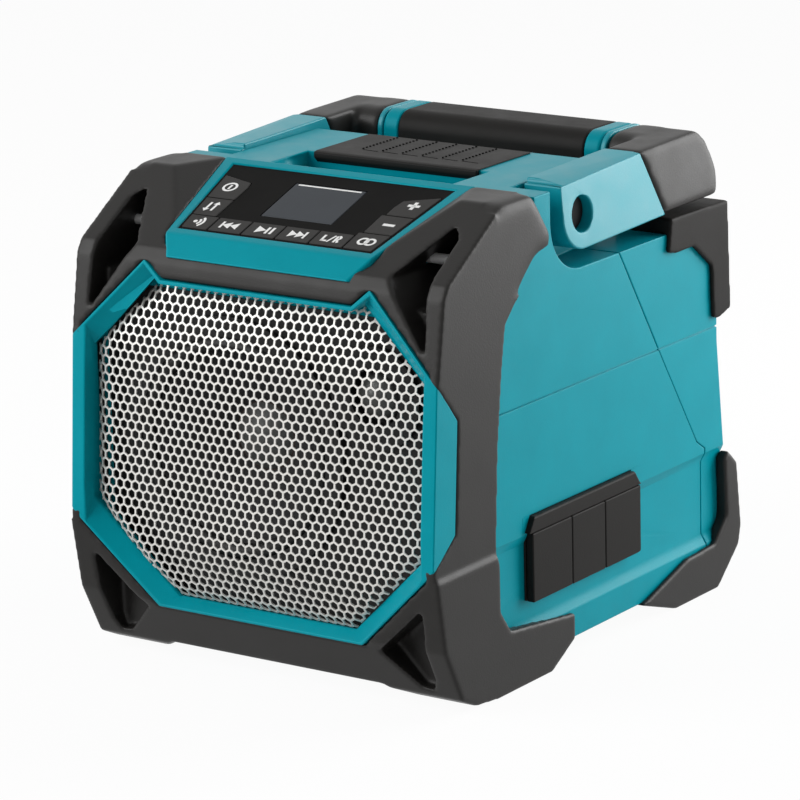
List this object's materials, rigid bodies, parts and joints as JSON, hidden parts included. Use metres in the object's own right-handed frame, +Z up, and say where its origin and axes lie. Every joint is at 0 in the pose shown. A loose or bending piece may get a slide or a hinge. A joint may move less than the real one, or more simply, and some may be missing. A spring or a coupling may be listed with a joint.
{
  "type": "wireless jobsite speaker",
  "caption": "Rugged wireless jobsite speaker with rubber corner bumpers, a perforated front grille, a sloped keypad with display, a swing-up carry handle and a rear battery bay.",
  "frame": {"origin": "middle of the footprint, on the ground", "axes": "+Z up, the front with the grille faces -Y, +X towards the side with the ports"},
  "size_m": [0.17, 0.218, 0.188],
  "materials": {
    "teal_shell": "satin moulded plastic with a fine grain",
    "charcoal_rubber": "soft matt rubber",
    "bright_steel": "plain steel",
    "dark_steel": "blackened steel",
    "black_steel": "black paint",
    "grille_paint": "light grey paint on sheet steel",
    "black_plastic": "plain black plastic",
    "cone_paper": "treated paper cone",
    "soft_rubber": "soft rubber roll",
    "spider_cloth": "corrugated cloth",
    "copper_wire": "enamelled copper winding",
    "mask_black": "matt black film",
    "key_grey": "charcoal rubber keys with white marks",
    "window_clear": "clear display window",
    "lcd_glass": "dark display panel",
    "board_green": "circuit board",
    "brass_contact": "contact blades",
    "sink_aluminium": "plain aluminium"
  },
  "bodies": {
    "cabinet": {"front_shell": "teal_shell", "rear_shell": "teal_shell", "front_bumper": "charcoal_rubber", "rear_bumper_top_right": "charcoal_rubber", "rear_bumper_top_left": "charcoal_rubber", "rear_bumper_low_right": "charcoal_rubber", "rear_bumper_low_left": "charcoal_rubber", "strap_posts": "bright_steel", "bezel": "teal_shell", "grille": "grille_paint", "baffle": "black_plastic", "woofer_frame": "black_steel", "woofer_magnet": "bright_steel", "woofer_surround": "soft_rubber", "woofer_spider": "spider_cloth", "tweeter_frame": "black_plastic", "tweeter_dome": "bright_steel", "control_panel": "teal_shell", "key_mask": "mask_black", "lcd_window": "window_clear", "lcd_module": "lcd_glass", "control_board": "board_green", "top_mat": "charcoal_rubber", "pivot_screws": "dark_steel", "port_frame": "charcoal_rubber", "usb_socket": "bright_steel", "aux_jack": "black_plastic", "dc_inlet": "black_plastic", "port_board": "board_green", "battery_bay": "black_plastic", "battery_terminals": "brass_contact", "main_board": "board_green", "heat_sink": "sink_aluminium", "door_pin": "bright_steel", "case_screws": "dark_steel"},
    "handle": {"handle_core": "teal_shell", "grip_roll": "charcoal_rubber", "grip_corner_right": "charcoal_rubber", "grip_corner_left": "charcoal_rubber"},
    "key_power": {"key_power": "key_grey"},
    "key_tone": {"key_tone": "key_grey"},
    "key_pair": {"key_pair": "key_grey"},
    "key_back": {"key_back": "key_grey"},
    "key_play": {"key_play": "key_grey"},
    "key_next": {"key_next": "key_grey"},
    "key_side": {"key_side": "key_grey"},
    "key_link": {"key_link": "key_grey"},
    "key_minus": {"key_minus": "key_grey"},
    "key_plus": {"key_plus": "key_grey"},
    "flap_usb": {"flap_usb": "charcoal_rubber"},
    "flap_aux": {"flap_aux": "charcoal_rubber"},
    "flap_dc": {"flap_dc": "charcoal_rubber"},
    "battery_door": {"battery_door": "teal_shell"},
    "cone": {"woofer_cone": "cone_paper", "voice_coil": "copper_wire", "dust_cap": "cone_paper"}
  },
  "joints": [
    {"name": "handle_swing", "type": "hinge", "parent": "cabinet", "child": "handle", "pos_m": [0, -0.0043, 0.1717], "axis": [1, 0, 0], "range_deg": [0, 90]},
    {"name": "power_press", "type": "slide", "parent": "cabinet", "child": "key_power", "axis": [0, 0.3232, -0.9463], "range_m": [0, 0.0006], "stiffness_N_per_m": 400},
    {"name": "tone_press", "type": "slide", "parent": "cabinet", "child": "key_tone", "axis": [0, 0.3232, -0.9463], "range_m": [0, 0.0006], "stiffness_N_per_m": 400},
    {"name": "pair_press", "type": "slide", "parent": "cabinet", "child": "key_pair", "axis": [0, 0.3232, -0.9463], "range_m": [0, 0.0006], "stiffness_N_per_m": 400},
    {"name": "back_press", "type": "slide", "parent": "cabinet", "child": "key_back", "axis": [0, 0.3232, -0.9463], "range_m": [0, 0.0006], "stiffness_N_per_m": 400},
    {"name": "play_press", "type": "slide", "parent": "cabinet", "child": "key_play", "axis": [0, 0.3232, -0.9463], "range_m": [0, 0.0006], "stiffness_N_per_m": 400},
    {"name": "next_press", "type": "slide", "parent": "cabinet", "child": "key_next", "axis": [0, 0.3232, -0.9463], "range_m": [0, 0.0006], "stiffness_N_per_m": 400},
    {"name": "side_press", "type": "slide", "parent": "cabinet", "child": "key_side", "axis": [0, 0.3232, -0.9463], "range_m": [0, 0.0006], "stiffness_N_per_m": 400},
    {"name": "link_press", "type": "slide", "parent": "cabinet", "child": "key_link", "axis": [0, 0.3232, -0.9463], "range_m": [0, 0.0006], "stiffness_N_per_m": 400},
    {"name": "minus_press", "type": "slide", "parent": "cabinet", "child": "key_minus", "axis": [0, 0.3232, -0.9463], "range_m": [0, 0.0006], "stiffness_N_per_m": 400},
    {"name": "plus_press", "type": "slide", "parent": "cabinet", "child": "key_plus", "axis": [0, 0.3232, -0.9463], "range_m": [0, 0.0006], "stiffness_N_per_m": 400},
    {"name": "usb_flap_open", "type": "hinge", "parent": "cabinet", "child": "flap_usb", "pos_m": [0.0844, -0.0303, 0.0573], "axis": [0, -1, 0], "range_deg": [0, 110], "stiffness_Nm_per_rad": 0.01},
    {"name": "aux_flap_open", "type": "hinge", "parent": "cabinet", "child": "flap_aux", "pos_m": [0.0844, -0.0048, 0.0573], "axis": [0, -1, 0], "range_deg": [0, 110], "stiffness_Nm_per_rad": 0.01},
    {"name": "dc_flap_open", "type": "hinge", "parent": "cabinet", "child": "flap_dc", "pos_m": [0.0844, 0.02, 0.0573], "axis": [0, -1, 0], "range_deg": [0, 110], "stiffness_Nm_per_rad": 0.01},
    {"name": "door_open", "type": "hinge", "parent": "cabinet", "child": "battery_door", "pos_m": [0, 0.1023, 0.013], "axis": [-1, 0, 0], "range_deg": [0, 95]},
    {"name": "cone_stroke", "type": "slide", "parent": "cabinet", "child": "cone", "axis": [0, 1, 0], "range_m": [-0.002, 0.002], "stiffness_N_per_m": 1500, "deforming": ["woofer_surround", "woofer_spider"]}
  ]
}
